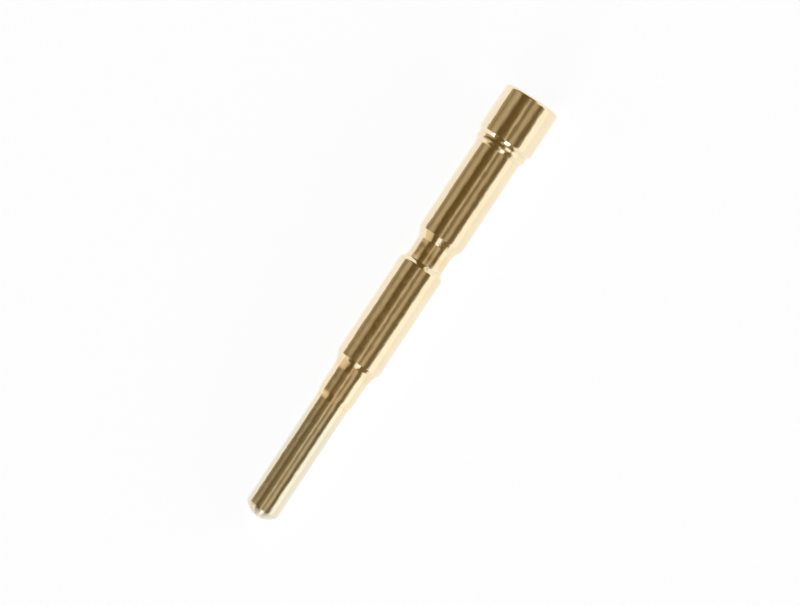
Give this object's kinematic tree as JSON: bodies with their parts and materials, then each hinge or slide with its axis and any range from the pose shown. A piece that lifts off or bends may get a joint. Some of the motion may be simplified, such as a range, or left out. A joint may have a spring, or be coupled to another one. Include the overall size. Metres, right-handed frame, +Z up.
{
  "type": "crimp pin contact",
  "caption": "Slender turned pin contact with a round-nosed mating pin, a stepped body with a retention groove, and a hollow wire barrel with a wider insulation cup at its mouth.",
  "frame": {"origin": "middle of the box on the plane that the contact lies on", "axes": "+X towards the tip of the mating pin, +Z up; the axis of the contact rises by 1.2 degrees towards its head, because it lies on the corners of its head and its front body"},
  "size_m": [0.022, 0.0026, 0.0027],
  "materials": {
    "gold_plate": "polished gold plate over a turned copper alloy"
  },
  "bodies": {
    "root": {"pin_contact": "gold_plate"}
  },
  "joints": []
}
